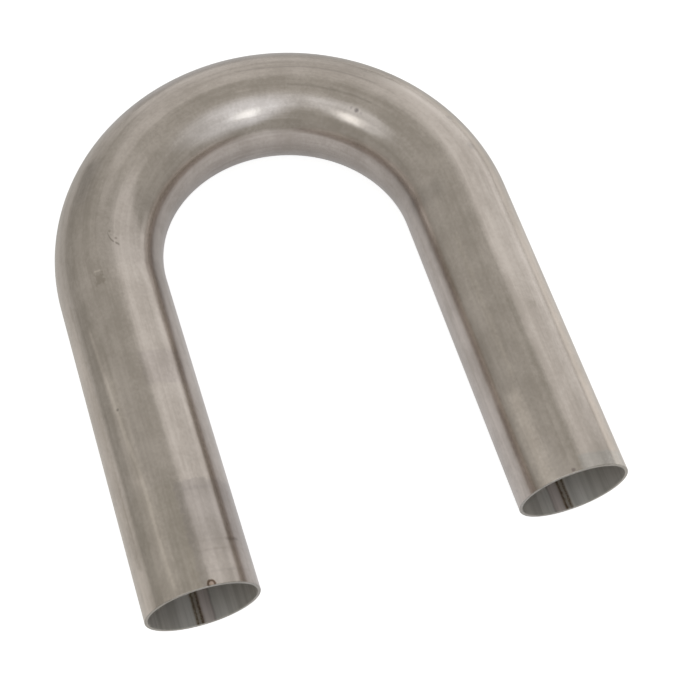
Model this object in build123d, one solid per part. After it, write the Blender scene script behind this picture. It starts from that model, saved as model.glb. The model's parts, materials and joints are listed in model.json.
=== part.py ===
"""Exhaust U-bend: one welded stainless tube, mandrel bent through a half turn.

The bend lies flat, as it comes to rest. X is across the legs, Y along them, Z up from the surface it lies on.
The open ends face -Y. The origin is at the middle of the bounding box, on the surface. Sizes are in millimetres.
"""

import math
import os

from build123d import *

# Tube stock: 2 1/4 inch outside, 16 gauge.
TUBE_OD = 57.15
WALL = 1.65

# The bend: 3 3/4 inch to the centreline of the bore, a half turn.
BEND_RADIUS = 95.25
BEND_ANGLE = 180.0

# Straight lengths from the tangent lines to the sawn ends. They were cut by hand and differ a little.
LEFT_LEG = 176.0
RIGHT_LEG = 173.5

# Bending stretches the outside of the curve and packs the inside, so at mid bend the outer skin lies this much
# nearer to the bend's centre than the bore does: the wall is thinner outside and thicker inside.
WALL_SHIFT = 0.3
# The skin moves over mostly within this angle after each tangent line.
SHIFT_ANGLE = 30.0

# The tube's long seam weld: a low bead inside the bore, this many degrees from the underside
# towards the outside of the curve.
BEAD_WIDTH = 3.2
BEAD_HEIGHT = 0.25
BEAD_OFF_BOTTOM = 5.6

# Deburred edges at the sawn ends.
EDGE_BREAK = 0.25

OUTER_R = TUBE_OD / 2
BORE_R = OUTER_R - WALL
AXIS_Z = OUTER_R
# The bend's centre lies this far along Y, which puts the origin at the middle of the overall length.
BEND_CENTRE_Y = (max(LEFT_LEG, RIGHT_LEG) - (BEND_RADIUS - WALL_SHIFT + OUTER_R)) / 2
# How far a cutter runs past the face that it cuts.
OVERRUN = 1.0

DOWN_THE_LEGS = (0, -1, 0)


def skin_arcs():
    """The outer skin's centreline in the bend, as the radius and angle of each arc, from the left leg on.

    Two arcs a little tighter than the bore's centreline, with a wider one between them, run from tangent
    line to tangent line and bring the skin WALL_SHIFT nearer to the bend's centre at mid bend.
    """
    turn = math.radians(SHIFT_ANGLE)
    tighter = WALL_SHIFT / (1 + math.tan(turn) - 1 / math.cos(turn))
    end_radius = BEND_RADIUS - tighter
    middle_radius = end_radius + tighter / math.cos(turn)
    return [
        (end_radius, SHIFT_ANGLE),
        (middle_radius, BEND_ANGLE - 2 * SHIFT_ANGLE),
        (end_radius, SHIFT_ANGLE),
    ]


def bent_bar(section, arcs, run_out):
    """A section carried along the left leg, round the arcs and along the right leg.

    The section is drawn about its own axis, with +X towards the outside of the curve and +Y up.
    Both legs run past their ends by run_out.
    """
    across = Plane((-BEND_RADIUS, BEND_CENTRE_Y, AXIS_Z), x_dir=(-1, 0, 0), z_dir=(0, 1, 0))
    bar = extrude(across * section, LEFT_LEG + run_out, dir=DOWN_THE_LEGS)
    for radius, angle in arcs:
        centre = across.origin - across.x_dir * radius
        bar += revolve(across * section, Axis(centre, (0, 0, -1)), angle)
        across = Plane(
            centre + across.x_dir.rotate(Axis.Z, -angle) * radius,
            x_dir=across.x_dir.rotate(Axis.Z, -angle),
            z_dir=across.z_dir.rotate(Axis.Z, -angle),
        )
    return bar + extrude(across * section, RIGHT_LEG + run_out, dir=DOWN_THE_LEGS)


def on_circle(radius, degrees):
    """A point on a circle about the tube's axis, in the section's own plane."""
    return Vector(radius, 0).rotate(Axis.Z, degrees)


def bore_section():
    """The round bore, less the weld bead that stands into it."""
    bead = -90 + BEAD_OFF_BOTTOM
    half = math.degrees(BEAD_WIDTH / 2 / BORE_R)
    toes = [on_circle(BORE_R, bead - half), on_circle(BORE_R, bead + half)]
    wall = ThreePointArc(toes[1], on_circle(BORE_R, bead + 180), toes[0])
    crest = ThreePointArc(toes[0], on_circle(BORE_R - BEAD_HEIGHT, bead), toes[1])
    return make_face([wall, crest])


def bore_deburr(side, leg):
    """A cone on a leg's axis that breaks the inner edge of its end, and the bead's end with it."""
    mouth = BORE_R + EDGE_BREAK + OVERRUN
    throat = BORE_R - BEAD_HEIGHT - OVERRUN
    end = Plane((side * BEND_RADIUS, BEND_CENTRE_Y - leg, AXIS_Z), z_dir=(0, 1, 0))
    cone = Cone(mouth, throat, mouth - throat, align=(Align.CENTER, Align.CENTER, Align.MIN))
    return end.offset(-OVERRUN) * cone


def tube():
    """The whole bend: the skin with its ends deburred, less the bore."""
    skin = bent_bar(Circle(OUTER_R), skin_arcs(), 0)
    end_rims = skin.edges().filter_by(GeomType.CIRCLE).sort_by(Axis.Y)[:2]
    body = chamfer(end_rims, EDGE_BREAK) - bent_bar(bore_section(), [(BEND_RADIUS, BEND_ANGLE)], OVERRUN)
    return body - [bore_deburr(-1, LEFT_LEG), bore_deburr(1, RIGHT_LEG)]


if __name__ == "__main__":
    os.makedirs("parts", exist_ok=True)
    export_step(tube(), "parts/tube.step")
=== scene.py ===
"""Looks of a half-turn stainless exhaust bend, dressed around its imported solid.

Lengths are in metres, in the solid's own frame: X across the legs, Y along them with the sawn ends towards -Y,
and Z up from the surface that the bend lies on. Places on the tube are given as on the straight stock before
it was bent: how far along from the left sawn end, and the angle round from the outside of the curve over the top.
"""

from __future__ import annotations

import json
import logging
import math
from dataclasses import dataclass, field
from enum import Enum

import bmesh
import bpy
from mathutils import Matrix, Vector, noise


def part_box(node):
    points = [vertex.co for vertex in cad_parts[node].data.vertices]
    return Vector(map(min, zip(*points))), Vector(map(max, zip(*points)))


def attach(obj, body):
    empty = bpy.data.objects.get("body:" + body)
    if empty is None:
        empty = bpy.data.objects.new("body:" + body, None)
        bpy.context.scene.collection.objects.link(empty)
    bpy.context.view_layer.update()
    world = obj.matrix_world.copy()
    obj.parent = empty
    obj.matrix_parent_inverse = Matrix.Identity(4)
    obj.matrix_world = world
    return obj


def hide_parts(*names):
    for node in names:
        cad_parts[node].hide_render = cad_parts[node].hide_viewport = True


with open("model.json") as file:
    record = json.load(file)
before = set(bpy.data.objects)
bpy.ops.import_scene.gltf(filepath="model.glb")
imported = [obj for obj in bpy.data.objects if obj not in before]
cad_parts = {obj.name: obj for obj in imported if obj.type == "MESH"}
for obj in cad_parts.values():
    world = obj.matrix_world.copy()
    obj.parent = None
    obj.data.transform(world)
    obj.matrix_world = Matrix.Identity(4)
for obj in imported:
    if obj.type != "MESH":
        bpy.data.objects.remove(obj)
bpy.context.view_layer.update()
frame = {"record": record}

LOG = logging.getLogger("exhaust_bend")
MM = 0.001
NODE = "tube"
STOCK = "stock"
EDGE_BREAK = 0.25 * MM

Colour = tuple[float, float, float]


class Surface(Enum):
    """The tube's surfaces, each with its own finish. The value is the material index."""

    SKIN = 0
    BORE = 1
    RIM = 2


class End(Enum):
    """The two sawn ends. The value is the sign of their X."""

    LEFT = -1
    RIGHT = 1


@dataclass(frozen=True)
class BendPath:
    """The bore's centreline: along the left leg, round the half turn and along the right leg."""

    bend_radius: float
    centre_y: float
    axis_z: float
    left_leg: float
    right_leg: float

    @classmethod
    def from_frame(cls, record: dict, low: Vector, high: Vector) -> BendPath:
        """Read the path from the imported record's end mounts and the solid's box.

        Args:
            record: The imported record.
            low: The lowest corner of the tube's box.
            high: The highest corner of the tube's box.

        Returns:
            The path of the tube in the frame.
        """
        mounts = {mount["name"]: mount for mount in record["mounts"]}
        left = mounts["left_end_face"]["pos_m"]
        pins = [mounts["left_end"], mounts["right_end"]]
        legs = [pin["dims"]["length_mm"] * MM + EDGE_BREAK for pin in pins]
        return cls(
            bend_radius=abs(pins[0]["pos_m"][0]),
            centre_y=left[1] + legs[0],
            axis_z=(low.z + high.z) / 2,
            left_leg=legs[0],
            right_leg=legs[1],
        )

    @property
    def turn(self) -> float:
        """Length of the half turn along the centreline."""
        return math.pi * self.bend_radius

    @property
    def length(self) -> float:
        """Length of the whole tube along the centreline."""
        return self.left_leg + self.turn + self.right_leg

    def tangent(self, end: End) -> Vector:
        """The centre of the tube where a leg meets the bend."""
        return Vector((end.value * self.bend_radius, self.centre_y, self.axis_z))

    def leg_end(self, end: End) -> Vector:
        """The centre of a sawn end."""
        leg = self.left_leg if end is End.LEFT else self.right_leg
        return self.tangent(end) - Vector((0, leg, 0))

    def unbend(self, point: Vector) -> tuple[Vector, Vector]:
        """Find where a point of the bent tube lay on the straight stock.

        Args:
            point: A place on the bent tube.

        Returns:
            The place on the stock, as along, out and up, and the direction in the frame that out points in.
        """
        past = point.y - self.centre_y
        if past > 0:
            outward = Vector((point.x, past, 0)).normalized()
            along = self.left_leg + math.atan2(past, -point.x) * self.bend_radius
            out = math.hypot(point.x, past) - self.bend_radius
        else:
            outward = Vector((math.copysign(1, point.x), 0, 0))
            along = self.left_leg + past if point.x < 0 else self.left_leg + self.turn - past
            out = abs(point.x) - self.bend_radius
        return Vector((along, out, point.z - self.axis_z)), outward


def middle_of(edge: bmesh.types.BMEdge) -> Vector:
    """The middle point of an edge."""
    return (edge.verts[0].co + edge.verts[1].co) / 2


def edges_in(geometry: list) -> list[bmesh.types.BMEdge]:
    """The edges among what an operator made."""
    return [item for item in geometry if isinstance(item, bmesh.types.BMEdge)]


@dataclass
class BentTube:
    """The one piece: a welded tube with its skin, its bore with the seam's bead, and two sawn rims."""

    path: BendPath
    outer_radius: float
    wall: float = 1.65 * MM
    wall_shift: float = 0.3 * MM
    shift_angle: float = math.radians(30)
    bead_angle: float = math.radians(-84.4)
    bead_width: float = 3.2 * MM
    bead_height: float = 0.22 * MM
    ripple_pitch: float = 1.1 * MM
    ripple_height: float = 0.06 * MM
    roll_waviness: float = 0.035 * MM
    ring_segments: int = 120
    seam_cuts: int = 5
    seam_reach: float = math.radians(9)
    skin_step: float = math.radians(1.5)
    skin_fine: float = 3 * MM
    bore_step: float = math.radians(2.5)
    bore_fine: float = 30 * MM
    edge_break: float = EDGE_BREAK
    name: str = "exhaust_bend"
    mesh: bmesh.types.BMesh = field(default_factory=bmesh.new)

    @property
    def bore_radius(self) -> float:
        """Radius of the bore."""
        return self.outer_radius - self.wall

    @property
    def skin_turn(self) -> list[tuple[float, float]]:
        """The skin's centreline in the bend, as the radius and angle of each arc.

        The skin lies a little nearer to the bend's centre than the bore, where bending has thinned the outside.
        """
        turn = self.shift_angle
        tighter = self.wall_shift / (1 + math.tan(turn) - 1 / math.cos(turn))
        near_ends = self.path.bend_radius - tighter
        middle = near_ends + tighter / math.cos(turn)
        return [(near_ends, turn), (middle, math.pi - 2 * turn), (near_ends, turn)]

    def start_ring(self, radius: float) -> list[bmesh.types.BMEdge]:
        """Make a ring at the left tangent line, with closer vertices by the seam.

        Args:
            radius: The ring's radius.

        Returns:
            The ring's edges.
        """
        centre = self.path.tangent(End.LEFT)
        place = Matrix.Translation(centre) @ Matrix.Rotation(math.pi / 2, 4, "X")
        made = bmesh.ops.create_circle(
            self.mesh, cap_ends=False, segments=self.ring_segments, radius=radius, matrix=place
        )
        ring = {edge for vert in made["verts"] for edge in vert.link_edges}
        near_seam = [edge for edge in ring if abs(self.off_seam(middle_of(edge))) < self.seam_reach]
        split = bmesh.ops.subdivide_edges(self.mesh, edges=near_seam, cuts=self.seam_cuts)
        ring |= set(edges_in(split["geom"]))
        for vert in {vert for edge in ring for vert in edge.verts}:
            vert.co = centre + (vert.co - centre).normalized() * radius
        return list(ring)

    def off_seam(self, point: Vector) -> float:
        """The angle round the tube from the seam weld to a point."""
        stock, _ = self.path.unbend(point)
        angle = math.atan2(stock.z, stock.y) - self.bead_angle
        return (angle + math.pi) % math.tau - math.pi

    def draw_out(self, ring: list[bmesh.types.BMEdge], length: float, steps: int) -> list[bmesh.types.BMEdge]:
        """Extrude a ring down its leg, towards -Y.

        Args:
            ring: The edges to extrude.
            length: How far.
            steps: How many rings the length is divided into.

        Returns:
            The last ring's edges.
        """
        made = bmesh.ops.extrude_edge_only(self.mesh, edges=ring)["geom"]
        moved = {item for item in made if isinstance(item, bmesh.types.BMVert)}
        bmesh.ops.translate(self.mesh, vec=(0, -length, 0), verts=list(moved))
        around = [edge for edge in edges_in(made) if moved.issuperset(edge.verts)]
        rails = {edge for vert in moved for edge in vert.link_edges}.difference(around)
        bmesh.ops.subdivide_edges(self.mesh, edges=list(rails), cuts=steps - 1)
        return around

    def bend(self, ring: list[bmesh.types.BMEdge], arcs: list[tuple[float, float]], step: float) -> list:
        """Spin a ring round the bend.

        Args:
            ring: The edges at the left tangent line.
            arcs: The centreline's arcs, as radius and angle.
            step: The longest angle between rings.

        Returns:
            The last ring's edges.
        """
        centre = self.path.tangent(End.LEFT)
        towards_pivot = Vector((1, 0, 0))
        for radius, angle in arcs:
            pivot = centre + towards_pivot * radius
            made = bmesh.ops.spin(
                self.mesh, geom=ring, cent=pivot, axis=(0, 0, -1), angle=angle, steps=math.ceil(angle / step)
            )
            ring = edges_in(made["geom_last"])
            towards_pivot.rotate(Matrix.Rotation(-angle, 3, "Z"))
            centre = pivot - towards_pivot * radius
        return ring

    def shell(self, radius: float, arcs: list[tuple[float, float]], step: float, fine: float) -> list[list]:
        """Make one surface of the wall, from sawn end to sawn end.

        Args:
            radius: The surface's radius.
            arcs: The arcs of its centreline in the bend.
            step: The angle between rings in the bend. Rings in the legs are as far apart.
            fine: The length by each sawn end that has rings every half millimetre.

        Returns:
            The edges of the left and of the right end's ring.
        """
        first = self.start_ring(radius)
        last = self.bend(first, arcs, step)
        ends = []
        for ring, leg in ((first, self.path.left_leg), (last, self.path.right_leg)):
            coarse = round((leg - fine) / (self.path.bend_radius * step))
            ring = self.draw_out(ring, leg - fine, coarse)
            ends.append(self.draw_out(ring, fine, round(fine / (0.5 * MM))))
        return ends

    def build(self) -> None:
        """Model the tube: skin, bore, sawn rims with broken edges, bead and waviness."""
        self.shell(self.outer_radius, self.skin_turn, self.skin_step, self.skin_fine)
        ends = self.shell(self.bore_radius, [(self.path.bend_radius, math.pi)], self.bore_step, self.bore_fine)
        for end, ring in zip(End, ends):
            self.face_off(end, ring)
        bmesh.ops.remove_doubles(self.mesh, verts=self.mesh.verts, dist=0.01 * MM)
        bmesh.ops.recalc_face_normals(self.mesh, faces=self.mesh.faces)
        bmesh.ops.bevel(
            self.mesh,
            geom=[edge for edge in self.mesh.edges if edge.calc_face_angle(0) > math.radians(60)],
            offset=self.edge_break,
            offset_type="OFFSET",
            affect="EDGES",
            segments=2,
            profile=0.5,
            material=-1,
        )
        self.mark_surfaces()
        for vert in self.mesh.verts:
            self.work_surface(vert)

    def face_off(self, end: End, ring: list[bmesh.types.BMEdge]) -> None:
        """Close the wall at a sawn end with a flat rim, from the bore's ring out to the skin's."""
        made = bmesh.ops.extrude_edge_only(self.mesh, edges=ring)["geom"]
        spread = self.outer_radius / self.bore_radius
        bmesh.ops.scale(
            self.mesh,
            vec=(spread, 1, spread),
            space=Matrix.Translation(-self.path.leg_end(end)),
            verts=[item for item in made if isinstance(item, bmesh.types.BMVert)],
        )

    def mark_surfaces(self) -> None:
        """Give each face its surface's finish, and keep the sawn faces flat."""
        middle = self.outer_radius - self.wall / 2
        for face in self.mesh.faces:
            stock, _ = self.path.unbend(face.calc_center_median())
            from_end = min(stock.x, self.path.length - stock.x)
            skin = math.hypot(stock.y, stock.z) > middle
            surface = Surface.RIM if from_end < self.edge_break * 0.99 else Surface.SKIN if skin else Surface.BORE
            face.material_index = surface.value
            face.smooth = from_end > self.edge_break * 0.01

    def work_surface(self, vert: bmesh.types.BMVert) -> None:
        """Move a vertex in or out by what rolling, welding and bending left on the wall."""
        stock, outward = self.path.unbend(vert.co)
        radius = math.hypot(stock.y, stock.z)
        radial = (outward * stock.y + Vector((0, 0, stock.z))) / radius
        on_skin = radius > self.outer_radius - self.wall / 2
        inwards = self.waviness(stock, radius)
        off_seam = self.off_seam(vert.co) * radius
        if on_skin:
            inwards += self.planished(off_seam)
        else:
            inwards += self.bead(stock.x, off_seam)
        vert.co -= radial * inwards

    def waviness(self, stock: Vector, radius: float) -> float:
        """How far roll forming left the wall in from a true circle here."""
        around = Vector((stock.x * 2.5, stock.y / radius * 1.6, stock.z / radius * 1.6))
        fine = Vector((stock.x * 9, stock.y / radius * 5, stock.z / radius * 5))
        return self.roll_waviness * (1 + noise.noise(around) * 0.8 + noise.noise(fine) * 0.2)

    def planished(self, off_seam: float) -> float:
        """The flat that the planishing roll left on the outside of the seam weld."""
        return 0.04 * MM * math.exp(-((off_seam / (1.3 * MM)) ** 2))

    def bead(self, along: float, off_seam: float) -> float:
        """The height of the weld bead, with its ripples, here in the bore."""
        across = 2 * off_seam / self.bead_width
        if abs(across) >= 1:
            return 0.0
        crown = 1 - across**2
        wander = noise.noise(Vector((along * 260, 3.1, 0)))
        phase = along / self.ripple_pitch + 0.45 * across**2 + 0.25 * wander
        return crown * (self.bead_height + self.ripple_height * math.cos(math.tau * phase) * (0.7 + 0.6 * wander))

    def finish(self, finishes: dict[Surface, bpy.types.Material]) -> bpy.types.Object:
        """Turn the model into an object with its stock coordinates and finishes.

        Args:
            finishes: The material of each surface.

        Returns:
            The finished piece.
        """
        data = bpy.data.meshes.new(self.name)
        self.mesh.to_mesh(data)
        self.mesh.free()
        stock = data.attributes.new(STOCK, "FLOAT_VECTOR", "POINT")
        for vert in data.vertices:
            stock.data[vert.index].vector = self.path.unbend(vert.co)[0]
        for surface in Surface:
            data.materials.append(finishes[surface])
        piece = bpy.data.objects.new(self.name, data)
        bpy.context.scene.collection.objects.link(piece)
        return piece


class NodeSheet:
    """One material's nodes, for a surface placed by its stock coordinates. A number may stand for a socket."""

    def __init__(self, name: str) -> None:
        """Start a sheet with the stock coordinates in metres, and the angle round the tube in degrees."""
        self.material = bpy.data.materials.new(name)
        self.material.use_nodes = True
        self.tree = self.material.node_tree
        self.tree.nodes.clear()
        self.place = self.add("ShaderNodeAttribute", attribute_name=STOCK).outputs["Vector"]
        parts = self.add("ShaderNodeSeparateXYZ")
        self.plug(parts.inputs[0], self.place)
        self.along = parts.outputs[0]
        self.around = self.math("DEGREES", self.math("ARCTAN2", parts.outputs[2], parts.outputs[1]))

    def add(self, kind: str, **settings: object) -> bpy.types.Node:
        """Add a node and set its properties."""
        node = self.tree.nodes.new(kind)
        for name, value in settings.items():
            setattr(node, name, value)
        return node

    def plug(self, socket: bpy.types.NodeSocket, value: object) -> None:
        """Link a socket or write a constant into an input."""
        if isinstance(value, bpy.types.NodeSocket):
            self.tree.links.new(value, socket)
        elif value is not None:
            socket.default_value = (*value, 1.0) if socket.type == "RGBA" and len(value) == 3 else value

    def math(self, operation: str, first: object, second: object = None, third: object = None) -> object:
        """A Math node's result."""
        node = self.add("ShaderNodeMath", operation=operation)
        for socket, value in zip(node.inputs, (first, second, third)):
            self.plug(socket, value)
        return node.outputs[0]

    def noise(self, cycles: Colour, detail: float = 2.0, roughness: float = 0.5, shift: float = 0.0) -> object:
        """Fractal noise from 0 to 1.

        Args:
            cycles: Its cycles for each metre along, out and up.
            detail: How many finer layers it has.
            roughness: How strong the finer layers are.
            shift: How far along the pattern is moved, to keep two noises apart.

        Returns:
            The noise's value.
        """
        scaled = self.add("ShaderNodeVectorMath", operation="MULTIPLY_ADD")
        self.plug(scaled.inputs[0], self.place)
        self.plug(scaled.inputs[1], cycles)
        self.plug(scaled.inputs[2], (shift, shift, shift))
        node = self.add("ShaderNodeTexNoise")
        self.plug(node.inputs["Vector"], scaled.outputs[0])
        self.plug(node.inputs["Scale"], 1.0)
        self.plug(node.inputs["Detail"], detail)
        self.plug(node.inputs["Roughness"], roughness)
        return node.outputs["Fac"]

    def ease(self, value: object, low: object, high: object, to_low: float = 0.0, to_high: float = 1.0) -> object:
        """A value eased from one range to another, and held beyond it."""
        node = self.add("ShaderNodeMapRange", interpolation_type="SMOOTHSTEP", clamp=True)
        for name, given in zip(("Value", "From Min", "From Max", "To Min", "To Max"), (value, low, high, to_low, to_high)):
            self.plug(node.inputs[name], given)
        return node.outputs[0]

    def near(self, distance: object, core: float, reach: float) -> object:
        """1 within a distance either way, easing to 0 at a longer one."""
        return self.ease(self.math("ABSOLUTE", distance), core, reach, 1.0, 0.0)

    def mix(self, share: object, under: object, over: object, blend: str = "MIX") -> object:
        """One colour over another."""
        node = self.add("ShaderNodeMix", data_type="RGBA", blend_type=blend)
        for index, value in ((0, share), (6, under), (7, over)):
            self.plug(node.inputs[index], value)
        return node.outputs[2]

    def bump(self, height: object, distance: float, under: object = None) -> object:
        """A normal that follows a height from 0 to 1.

        Args:
            height: The height.
            distance: What a height of 1 stands for, in metres.
            under: The normal that it is laid over.

        Returns:
            The bumped normal.
        """
        node = self.add("ShaderNodeBump")
        self.plug(node.inputs["Strength"], 1.0)
        self.plug(node.inputs["Distance"], distance)
        self.plug(node.inputs["Height"], height)
        self.plug(node.inputs["Normal"], under)
        return node.outputs[0]

    def metal(self, colour: object, roughness: object, normal: object, metallic: float = 1.0) -> bpy.types.Material:
        """Finish the sheet as bare metal.

        Args:
            colour: The metal's colour.
            roughness: Its roughness.
            normal: Its bumped normal.
            metallic: Less than 1 where a dull film lies on the metal.

        Returns:
            The finished material.
        """
        shader = self.add("ShaderNodeBsdfPrincipled")
        self.plug(shader.inputs["Metallic"], metallic)
        self.plug(shader.inputs["Base Color"], colour)
        self.plug(shader.inputs["Roughness"], roughness)
        self.plug(shader.inputs["Normal"], normal)
        output = self.add("ShaderNodeOutputMaterial")
        self.plug(output.inputs[0], shader.outputs[0])
        return self.material


@dataclass(frozen=True)
class Patch:
    """A soft-edged stain or rub on the skin; two patches on the bend are painted light instead, a painted glint and a
    painted dark reflection. Lengths are in millimetres and angles in degrees.
    """

    along: tuple[float, float]
    around: tuple[float, float]
    tint: Colour
    soft: float = 1.5
    ragged: float = 1.0

    def mask(self, sheet: NodeSheet) -> object:
        """How much of the patch lies here, from 0 to 1.

        Args:
            sheet: The skin's nodes.

        Returns:
            The mask.
        """
        stray = sheet.math("SUBTRACT", sheet.noise((420, 420, 420), 2.0, 0.6, self.along[0]), 0.5)
        along = sheet.math("MULTIPLY_ADD", stray, 4 * self.ragged * MM, sheet.along)
        around = sheet.math("MULTIPLY_ADD", stray, 8 * self.ragged, sheet.around)
        middle, half = sum(self.along) / 2 * MM, (self.along[1] - self.along[0]) / 2 * MM
        lengthwise = sheet.near(sheet.math("SUBTRACT", along, middle), half - self.soft * MM / 2, half + self.soft * MM / 2)
        middle, half = sum(self.around) / 2, (self.around[1] - self.around[0]) / 2
        turned = self.soft * 2
        crosswise = sheet.near(sheet.math("SUBTRACT", around, middle), half - turned / 2, half + turned / 2)
        return sheet.math("MULTIPLY", lengthwise, crosswise)


@dataclass(frozen=True)
class Scratch:
    """A thin line through points that are given as millimetres along and degrees round."""

    points: tuple[tuple[float, float], ...]
    width: float
    tint: Colour
    crosswise: bool = False

    def mask(self, sheet: NodeSheet) -> object:
        """How much of the line lies here, from 0 to 1.

        Args:
            sheet: The skin's nodes.

        Returns:
            The mask.
        """
        along = sheet.math("DIVIDE", sheet.along, MM)
        run, drift = (sheet.around, along) if self.crosswise else (along, sheet.around)
        points = [(point[1], point[0]) if self.crosswise else point for point in self.points]
        starts, aside = zip(*sorted(points))
        low, high = min(aside), max(aside)
        share = sheet.math("DIVIDE", sheet.math("SUBTRACT", run, starts[0]), starts[-1] - starts[0])
        curve = sheet.add("ShaderNodeFloatCurve")
        line = curve.mapping.curves[0]
        places = [((start - starts[0]) / (starts[-1] - starts[0]), (off - low) / (high - low)) for start, off in zip(starts, aside)]
        for spare, place in zip(line.points, (places[0], places[-1])):
            spare.location = place
        for place in places[1:-1]:
            line.points.new(*place)
        curve.mapping.update()
        sheet.plug(curve.inputs["Value"], share)
        course = sheet.math("MULTIPLY_ADD", curve.outputs[0], high - low, low)
        to_width = self.width if self.crosswise else self.width * 2
        line_here = sheet.near(sheet.math("SUBTRACT", drift, course), to_width * 0.15, to_width * 0.6)
        ends = sheet.near(sheet.math("SUBTRACT", share, 0.5), 0.46, 0.5)
        return sheet.math("MULTIPLY", line_here, ends)


@dataclass(frozen=True)
class Spot:
    """A round spot or, with a hole in it, a ring. Lengths are in millimetres and the angle in degrees."""

    along: float
    around: float
    radius: float
    tint: Colour
    hole: float = 0.0
    soft: float = 0.5

    def mask(self, sheet: NodeSheet) -> object:
        """How much of the spot lies here, from 0 to 1.

        Args:
            sheet: The skin's nodes.

        Returns:
            The mask.
        """
        turn = math.radians(self.around)
        centre = Vector((self.along, math.cos(turn) * 28.575, math.sin(turn) * 28.575)) * MM
        distance = sheet.add("ShaderNodeVectorMath", operation="DISTANCE")
        sheet.plug(distance.inputs[0], sheet.place)
        sheet.plug(distance.inputs[1], tuple(centre))
        stray = sheet.math("SUBTRACT", sheet.noise((900, 900, 900), 2.0, 0.6, self.along), 0.5)
        ragged = sheet.math("MULTIPLY_ADD", stray, 0.8 * MM, distance.outputs["Value"])
        mean = (self.radius + self.hole) / 2 * MM if self.hole else 0.0
        half = (self.radius - self.hole) / 2 * MM if self.hole else self.radius * MM
        edge = self.soft * MM / 2
        return sheet.near(sheet.math("SUBTRACT", ragged, mean), half - edge, half + edge)


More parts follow.
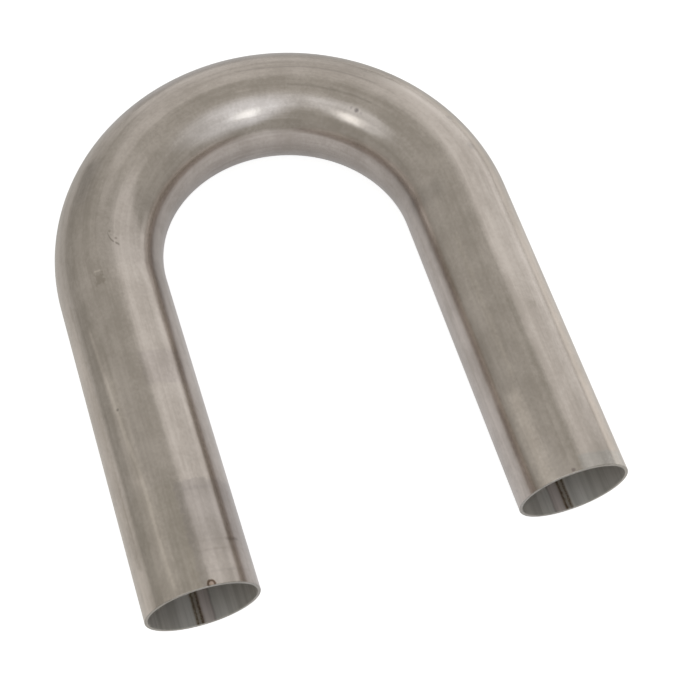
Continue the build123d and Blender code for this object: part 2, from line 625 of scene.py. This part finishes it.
@dataclass(frozen=True)
class SatinSkin:
    """Bare mill-finish stainless outside, with the rolls' grain, the marks of handling and bending, and on the bend a
    painted highlight and a painted dark reflection.
    """

    name: str = "satin_stainless"
    dark: Colour = (0.465, 0.415, 0.373)
    light: Colour = (0.605, 0.545, 0.500)
    roughness: float = 0.20
    crown: float = 325.6
    draw_marks: float = 0.008
    patches: tuple[Patch, ...] = (
        Patch((-9, 54), (93, 190), (0.835, 0.835, 0.85), 3.0, 1.6),
        Patch((-19, 19), (93, 190), (1.15, 1.15, 1.14), 18, 1.5),
        Patch((-9, 54), (-60, 93), (0.97, 0.97, 0.96), 1.2),
        Patch((-9, 64), (54, 71), (1.15, 1.15, 1.15), 14, 1.5),
        Patch((58, 118), (54, 65), (1.12, 1.12, 1.12), 6, 1.5),
        Patch((178, 232), (88, 138), (0.90, 0.90, 0.90), 12, 3),
        Patch((20, 168), (33, 36), (0.90, 0.90, 0.89), 1.5),
        Patch((40, 150), (43, 46), (0.92, 0.92, 0.91), 1.5),
        Patch((107, 126), (95, 142), (0.94, 0.935, 0.95)),
        Patch((-9, 57), (74, 92), (0.95, 0.95, 0.94), 2),
        Patch((-9, 42), (43, 54), (0.95, 0.95, 0.94), 3),
        Patch((22, 45), (28, 35), (0.92, 0.92, 0.92), 2),
        Patch((168.5, 175), (74, 83.5), (0.80, 0.79, 0.77), 1.2, 1.5),
        Patch((176.2, 177.1), (75.5, 82), (1.20, 1.20, 1.20), 0.5, 0.3),
        # Painted reflection: this darker patch on the bend stands for a dark fold in what the metal reflects. It is
        # not a stain.
        Patch((216, 240), (50, 69), (0.86, 0.86, 0.87), 9),
        Patch((470, 481), (110, 158), (0.86, 0.86, 0.86), 7, 1.5),
        Patch((598, 690), (119, 133), (1.38, 1.38, 1.38), 9, 1),
        Patch((505, 590), (117, 122), (1.07, 1.07, 1.06), 2, 1.5),
        Patch((505, 545), (127, 140), (1.06, 1.06, 1.06), 5, 2),
        Patch((550, 652), (91, 96), (0.91, 0.91, 0.90), 2),
        Patch((520, 640), (66, 68.5), (0.95, 0.95, 0.94), 2, 0.5),
        Patch((500, 600), (78, 80), (1.05, 1.05, 1.05), 2, 0.5),
        Patch((601, 629), (144, 151), (0.80, 0.79, 0.78), 5, 1),
        # Painted highlight: this lighter patch stands for a small second glint under the main one on the bend.
        Patch((322, 331), (104.5, 107), (1.16, 1.16, 1.17), 2, 0.5),
        Patch((641, 660), (30, 90), (0.92, 0.96, 0.985), 2, 0.6),
        Patch((353, 405), (103, 105.5), (0.88, 0.88, 0.88), 1, 0.5),
        Patch((6.2, 7.4), (104, 152), (0.93, 0.93, 0.93), 0.9, 0.15),
        Patch((17, 18), (98, 150), (0.93, 0.925, 0.92), 0.9, 0.3),
        Patch((21.6, 22.9), (100, 150), (0.965, 0.96, 0.96), 0.9, 0.15),
        Patch((21.4, 23.1), (130, 146), (0.80, 0.79, 0.78), 0.8, 0.1),
        Patch((48.5, 50.5), (100, 130), (0.94, 0.94, 0.95), 1.5, 0.3),
        Patch((438, 441), (51, 59), (0.88, 0.89, 0.90), 1.5),
        Patch((555, 559), (67, 75), (0.92, 0.92, 0.91), 2),
    )
    scratches: tuple[Scratch, ...] = (
        Scratch(((0, 68), (30, 66), (58, 65.5), (85, 60.5), (120, 55.5), (150, 52)), 2.4, (1.12, 1.12, 1.12)),
        Scratch(((60, 66), (90, 62), (112, 62.2), (135, 60), (152, 56), (166, 53)), 5.0, (0.89, 0.89, 0.88)),
        Scratch(((190.2, 106.3), (190.7, 104.5), (191.5, 102.2)), 1.8, (0.60, 0.59, 0.57), True),
        Scratch(((192.0, 100.8), (193.4, 98.0), (197.4, 94.6)), 1.6, (0.64, 0.63, 0.61), True),
        Scratch(((325, 79), (345, 81), (366, 80), (402, 79)), 1.2, (0.90, 0.90, 0.91)),
        Scratch(((0, 71), (40, 67), (85, 62.5), (150, 56)), 7.0, (1.08, 1.08, 1.08)),
    )
    spots: tuple[Spot, ...] = (
        Spot(1.0, 102, 2.2, (0.30, 0.22, 0.17), 1.1, 0.8),
        Spot(1.0, 102, 1.0, (0.92, 0.80, 0.74), 0.0, 0.6),
        Spot(194.2, 103.0, 0.7, (0.72, 0.71, 0.69), 0.0, 0.7),
        Spot(198.6, 96.5, 0.7, (0.78, 0.77, 0.75), 0.0, 0.7),
        Spot(398.4, 118.5, 1.2, (0.50, 0.49, 0.50), 0.0, 1.7),
        Spot(394.5, 118.0, 0.8, (0.85, 0.84, 0.85), 0.0, 0.9),
        Spot(401.8, 119.5, 0.8, (0.87, 0.86, 0.87), 0.0, 0.9),
        Spot(647.2, 99, 0.9, (0.62, 0.58, 0.60), 0.0, 0.9),
        Spot(458, 58, 2.2, (0.88, 0.89, 0.90), 0.0, 2.0),
        Spot(100, 60, 0.7, (0.60, 0.60, 0.60), 0.0, 0.7),
    )

    def material(self) -> bpy.types.Material:
        """Build the finish."""
        sheet = NodeSheet(self.name)
        grain = sheet.noise((60, 1100, 1100), 3.0, 0.6)
        streaks = sheet.noise((9, 330, 330), 4.0, 0.6)
        clouds = sheet.noise((45, 60, 60), 4.0, 0.6)
        mottle = sheet.noise((520, 520, 520), 2.0, 0.6)
        tone = sheet.math("MULTIPLY_ADD", streaks, 0.34, sheet.math("MULTIPLY", clouds, 0.46))
        tone = sheet.math("MULTIPLY_ADD", mottle, 0.20, tone)
        colour = sheet.mix(sheet.ease(tone, 0.36, 0.64), self.dark, self.light)
        for mark in (*self.patches, *self.scratches, *self.spots):
            colour = sheet.mix(mark.mask(sheet), colour, mark.tint, "MULTIPLY")
        uneven = sheet.math("MULTIPLY_ADD", grain, 0.08, sheet.math("MULTIPLY", mottle, 0.08))
        rough = sheet.math("ADD", uneven, self.roughness - 0.08)
        peel = sheet.noise((380, 620, 620), 1.0, 0.5, 3.0)
        normal = sheet.bump(peel, 0.005 * MM)
        normal = sheet.bump(grain, 0.0018 * MM, normal)
        from_crown = sheet.math("SUBTRACT", sheet.along, self.crown * MM)
        drawn = sheet.math("MULTIPLY", sheet.noise((30, 620, 620), 2.0, 0.6, 5.0), sheet.near(from_crown, 0.06, 0.15))
        return sheet.metal(colour, rough, sheet.bump(drawn, self.draw_marks * MM, normal))


@dataclass(frozen=True)
class BoreFinish:
    """Bare stainless inside the bore, duller than the skin, with the weld's bead and its heat tint."""

    seam: float
    radius: float
    name: str = "bore_stainless"
    dark: Colour = (0.575, 0.55, 0.515)
    light: Colour = (0.71, 0.68, 0.645)
    toe: Colour = (0.42, 0.37, 0.31)
    bead: Colour = (0.40, 0.36, 0.31)
    tint: Colour = (0.95, 0.88, 0.88)
    roughness: float = 0.52
    film: float = 0.10

    def material(self) -> bpy.types.Material:
        """Build the finish."""
        sheet = NodeSheet(self.name)
        grain = sheet.noise((60, 900, 900), 3.0, 0.6)
        streaks = sheet.noise((8, 260, 260), 4.0, 0.6)
        colour = sheet.mix(sheet.ease(streaks, 0.36, 0.64), self.dark, self.light)
        off = sheet.math("SUBTRACT", sheet.around, math.degrees(self.seam))
        off = sheet.math("MULTIPLY", off, math.radians(1) * self.radius / MM)
        stray = sheet.noise((350, 60, 60), 2.0, 0.6, 1.0)
        off = sheet.math("MULTIPLY_ADD", sheet.math("SUBTRACT", stray, 0.5), 0.7, off)
        towards_inside = sheet.math("ADD", off, 4.2)
        colour = sheet.mix(sheet.near(towards_inside, 2.8, 4.0), colour, self.tint, "MULTIPLY")
        colour = sheet.mix(sheet.near(sheet.math("ADD", off, 7.6), 0.1, 1.0), colour, (0.76, 0.74, 0.74), "MULTIPLY")
        colour = sheet.mix(sheet.near(off, 1.5, 2.9), colour, (0.64, 0.58, 0.51), "MULTIPLY")
        to_toe = sheet.math("SUBTRACT", sheet.math("ABSOLUTE", off), 1.15)
        speckle = sheet.noise((1500, 1100, 1100), 1.0, 0.5, 4.0)
        scorched = sheet.math("MULTIPLY", sheet.near(to_toe, 0.2, 1.0), sheet.ease(speckle, 0.36, 0.58, 0.45, 1.0))
        colour = sheet.mix(scorched, colour, self.toe, "MULTIPLY")
        ripple = sheet.noise((900, 500, 500), 1.0, 0.5, 2.0)
        on_bead = sheet.math("MULTIPLY", sheet.near(off, 0.5, 0.95), sheet.ease(ripple, 0.42, 0.6))
        colour = sheet.mix(on_bead, colour, self.bead)
        rough = sheet.math("MULTIPLY_ADD", grain, 0.16, self.roughness - 0.08)
        return sheet.metal(colour, rough, sheet.bump(grain, 0.003 * MM), 1.0 - self.film)


@dataclass(frozen=True)
class SawnRim:
    """The bright sawn end faces and their broken edges."""

    name: str = "sawn_stainless"
    dark: Colour = (0.33, 0.31, 0.28)
    light: Colour = (0.47, 0.445, 0.41)
    roughness: float = 0.36

    def material(self) -> bpy.types.Material:
        """Build the finish."""
        sheet = NodeSheet(self.name)
        saw = sheet.noise((400, 300, 2600), 2.0, 0.6)
        colour = sheet.mix(sheet.ease(saw, 0.35, 0.65), self.dark, self.light)
        rough = sheet.math("MULTIPLY_ADD", saw, 0.12, self.roughness - 0.06)
        return sheet.metal(colour, rough, sheet.bump(saw, 0.006 * MM))


class LampForm(Enum):
    """The shape of a lamp's face. A panel stands upright, and the others are turned to face the object."""

    SQUARE = "RECTANGLE"
    ROUND = "ELLIPSE"
    PANEL = "RECTANGLE, upright"


@dataclass(frozen=True)
class Softbox:
    """A soft lamp, placed by its direction from the object, in degrees."""

    name: str
    azimuth: float
    elevation: float
    width: float
    height: float
    radiance: float
    distance: float = 1.4
    colour: Colour = (1.0, 1.0, 1.0)
    form: LampForm = LampForm.SQUARE

    def hang(self, aim: Vector) -> bpy.types.Object:
        """Hang the lamp so that it faces a point or, as a panel, looks level over it.

        Args:
            aim: The point that it faces.

        Returns:
            The lamp.
        """
        lamp = bpy.data.lights.new(self.name, "AREA")
        lamp.shape = self.form.value.partition(",")[0]
        lamp.size, lamp.size_y = self.width, self.height
        face = self.width * self.height * (math.pi / 4 if self.form is LampForm.ROUND else 1)
        lamp.energy = self.radiance * math.pi * face
        lamp.color = self.colour
        holder = bpy.data.objects.new(self.name, lamp)
        azimuth, elevation = math.radians(self.azimuth), math.radians(self.elevation)
        flat = math.cos(elevation)
        towards = Vector((math.cos(azimuth) * flat, math.sin(azimuth) * flat, math.sin(elevation)))
        holder.location = aim + towards * self.distance
        back = Vector((towards.x, towards.y, 0)) if self.form is LampForm.PANEL else towards
        holder.rotation_euler = back.to_track_quat("Z", "Y").to_euler()
        holder.visible_camera = False
        bpy.context.scene.collection.objects.link(holder)
        return holder


@dataclass(frozen=True)
class Studio:
    """A white table in plain soft light, and the camera above its near edge."""

    aim: Vector
    lamps: tuple[Softbox, ...] = (
        Softbox("window", 37.5, 41, 2.75, 6.4, 0.375, 4.66, (0.99, 1.0, 1.03), LampForm.PANEL),
        Softbox("window_low", 31, 0.5, 3.1, 1.5, 0.23, 3.4, (0.99, 1.0, 1.03), LampForm.PANEL),
        Softbox("window_far_low", 90, 2, 3.1, 1.35, 0.13, 3.4, (0.99, 1.0, 1.03), LampForm.PANEL),
        Softbox("side_left", 151, 28, 0.9, 0.7, 0.05, 1.43, form=LampForm.ROUND),
        Softbox("window_back", 81, 37, 2.65, 5.6, 0.215, 4.38, (0.99, 1.0, 1.03), LampForm.PANEL),
        Softbox("key_left", -153, 46.5, 0.24, 0.38, 1.08, 1.4, (0.97, 1.0, 1.0)),
        Softbox("key_right", -78, 45, 0.27, 0.38, 1.45, 1.4, (0.93, 1.0, 1.05)),
        Softbox("wash_left", -160, 55, 0.84, 1.15, 0.36, 1.43, (0.93, 1.0, 1.10), LampForm.ROUND),
        Softbox("wash_right", -67, 46, 1.2, 1.6, 0.17, 1.43, (0.90, 1.0, 1.16), LampForm.ROUND),
        Softbox("wash_wide", -66, 46, 1.62, 2.1, 0.16, 1.44, (0.91, 1.0, 1.15), LampForm.ROUND),
        Softbox("glow_right", -80, 44, 0.68, 1.5, 0.24, 1.42, (0.90, 1.0, 1.16), LampForm.ROUND),
        Softbox("overhead", -96, 68, 1.25, 0.8, 0.20, 1.46, (0.92, 1.0, 1.12), LampForm.ROUND),
    )
    floor_reach: float = 0.5
    floor_colour: float = 0.5
    floor_glow: float = 0.84
    floor_tint: Colour = (1.04, 1.0, 0.94)
    floor_inside_tint: Colour = (1.01, 1.0, 1.03)
    floor_front: float = 0.37
    floor_back: float = 0.23
    floor_right: float = 0.31
    floor_left: float = -0.09
    azimuth: float = math.radians(-20.288)
    elevation: float = math.radians(63.116)
    roll: float = math.radians(2.918)
    distance: float = 0.77257
    target_x: float = 10.44 * MM
    target_y: float = -60.58 * MM
    focal_share: float = 2.18197
    sensor: float = 36.0
    sky_tint: Colour = (1.01, 1.0, 0.935)
    zenith: float = 0.54
    horizon: float = 0.42
    ground: float = 0.42

    def light(self) -> None:
        """Hang the lamps and set the sky, which a straight look sees as white."""
        for lamp in self.lamps:
            lamp.hang(self.aim)
        world = bpy.data.worlds.new("studio")
        bpy.context.scene.world = world
        world.use_nodes = True
        tree = world.node_tree
        tree.nodes.clear()
        rays = tree.nodes.new("ShaderNodeLightPath")
        direction = tree.nodes.new("ShaderNodeTexCoord")
        parts = tree.nodes.new("ShaderNodeSeparateXYZ")
        tree.links.new(direction.outputs["Generated"], parts.inputs[0])
        level = tree.nodes.new("ShaderNodeMapRange")
        tree.links.new(parts.outputs[2], level.inputs["Value"])
        for name, value in (("From Min", 0.0), ("From Max", 1.0), ("To Min", self.horizon), ("To Max", self.zenith)):
            level.inputs[name].default_value = value
        sky = tree.nodes.new("ShaderNodeBackground")
        sky.inputs["Color"].default_value = (*self.sky_tint, 1.0)
        tree.links.new(level.outputs[0], sky.inputs["Strength"])
        backdrop = tree.nodes.new("ShaderNodeBackground")
        backdrop.inputs["Color"].default_value = (1.0, 1.0, 1.0, 1.0)
        choice = tree.nodes.new("ShaderNodeMixShader")
        output = tree.nodes.new("ShaderNodeOutputWorld")
        tree.links.new(rays.outputs["Is Camera Ray"], choice.inputs[0])
        tree.links.new(sky.outputs[0], choice.inputs[1])
        tree.links.new(backdrop.outputs[0], choice.inputs[2])
        tree.links.new(choice.outputs[0], output.inputs[0])

    def floor_material(self) -> bpy.types.Material:
        """A matt white table, white to the camera and, in a reflection, brightest to the right."""
        sheet = NodeSheet("white_table")
        place = sheet.add("ShaderNodeSeparateXYZ")
        sheet.plug(place.inputs[0], sheet.add("ShaderNodeTexCoord").outputs["Object"])
        lengthwise = sheet.ease(place.outputs[1], 0.01, 0.09, self.floor_front, self.floor_back)
        reflected = sheet.math("ADD", lengthwise, sheet.ease(place.outputs[0], 0.13, 0.26, 0.0, self.floor_right))
        reflected = sheet.math("ADD", reflected, sheet.ease(place.outputs[0], -0.42, -0.18, self.floor_left, 0.0))
        rays = sheet.add("ShaderNodeLightPath")
        seen = sheet.math("MAXIMUM", rays.outputs["Is Camera Ray"], rays.outputs["Is Transmission Ray"])
        glossy = sheet.math("MULTIPLY", rays.outputs["Is Glossy Ray"], reflected)
        glow = sheet.add("ShaderNodeEmission")
        beyond_legs = sheet.ease(sheet.math("ABSOLUTE", place.outputs[0]), 0.05, 0.13)
        tint = sheet.mix(beyond_legs, self.floor_inside_tint, self.floor_tint)
        sheet.plug(glow.inputs["Color"], sheet.mix(rays.outputs["Is Glossy Ray"], (1.0, 1.0, 1.0), tint))
        sheet.plug(glow.inputs["Strength"], sheet.math("MULTIPLY_ADD", seen, self.floor_glow, glossy))
        paper = sheet.add("ShaderNodeBsdfDiffuse")
        sheet.plug(paper.inputs["Color"], (self.floor_colour,) * 3)
        both = sheet.add("ShaderNodeAddShader")
        sheet.plug(both.inputs[0], paper.outputs[0])
        sheet.plug(both.inputs[1], glow.outputs[0])
        output = sheet.add("ShaderNodeOutputMaterial")
        sheet.plug(output.inputs[0], both.outputs[0])
        return sheet.material

    def lay_floor(self) -> bpy.types.Object:
        """Lay the white table top.

        Returns:
            The floor, which isn't part of the object.
        """
        model = bmesh.new()
        bmesh.ops.create_circle(model, cap_ends=True, segments=96, radius=self.floor_reach)
        data = bpy.data.meshes.new("floor")
        model.to_mesh(data)
        model.free()
        floor = bpy.data.objects.new("floor", data)
        bpy.context.scene.collection.objects.link(floor)
        data.materials.append(self.floor_material())
        return floor

    def set_camera(self, path: BendPath) -> bpy.types.Object:
        """Set the camera where the photograph was taken from.

        Args:
            path: The tube's path, whose bend centre the target is measured from.

        Returns:
            The camera.
        """
        flat = math.cos(self.elevation)
        towards = Vector((math.sin(self.azimuth) * flat, -math.cos(self.azimuth) * flat, math.sin(self.elevation)))
        right = (-towards).cross(Vector((0, 0, 1))).normalized()
        up = right.cross(-towards)
        turned_right = right * math.cos(self.roll) + up * math.sin(self.roll)
        turned_up = up * math.cos(self.roll) - right * math.sin(self.roll)
        target = Vector((self.target_x, path.centre_y + self.target_y, path.axis_z))
        data = bpy.data.cameras.new("camera")
        data.sensor_width = self.sensor
        data.lens = self.focal_share * self.sensor
        camera = bpy.data.objects.new("camera", data)
        turn = Matrix((turned_right, turned_up, towards)).transposed().to_4x4()
        camera.matrix_world = Matrix.Translation(target + towards * self.distance) @ turn
        bpy.context.scene.collection.objects.link(camera)
        bpy.context.scene.camera = camera
        return camera


def main() -> None:
    """Build the tube, dress it and set the studio around it."""
    logging.basicConfig(level=logging.INFO, format="%(name)s: %(message)s")
    low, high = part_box(NODE)
    path = BendPath.from_frame(frame["record"], low, high)
    tube = BentTube(path, outer_radius=(high.z - low.z) / 2)
    tube.build()
    finishes = {
        Surface.SKIN: SatinSkin().material(),
        Surface.BORE: BoreFinish(tube.bead_angle, tube.bore_radius).material(),
        Surface.RIM: SawnRim().material(),
    }
    piece = tube.finish(finishes)
    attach(piece, "root")
    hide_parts(NODE)
    LOG.info("%s: %d vertices, %d faces", piece.name, len(piece.data.vertices), len(piece.data.polygons))
    studio = Studio(aim=Vector((0, 0, path.axis_z)))
    studio.light()
    studio.lay_floor()
    studio.set_camera(path)
    bpy.context.scene.view_settings.view_transform = "Standard"


if __name__ == "__main__":
    main()
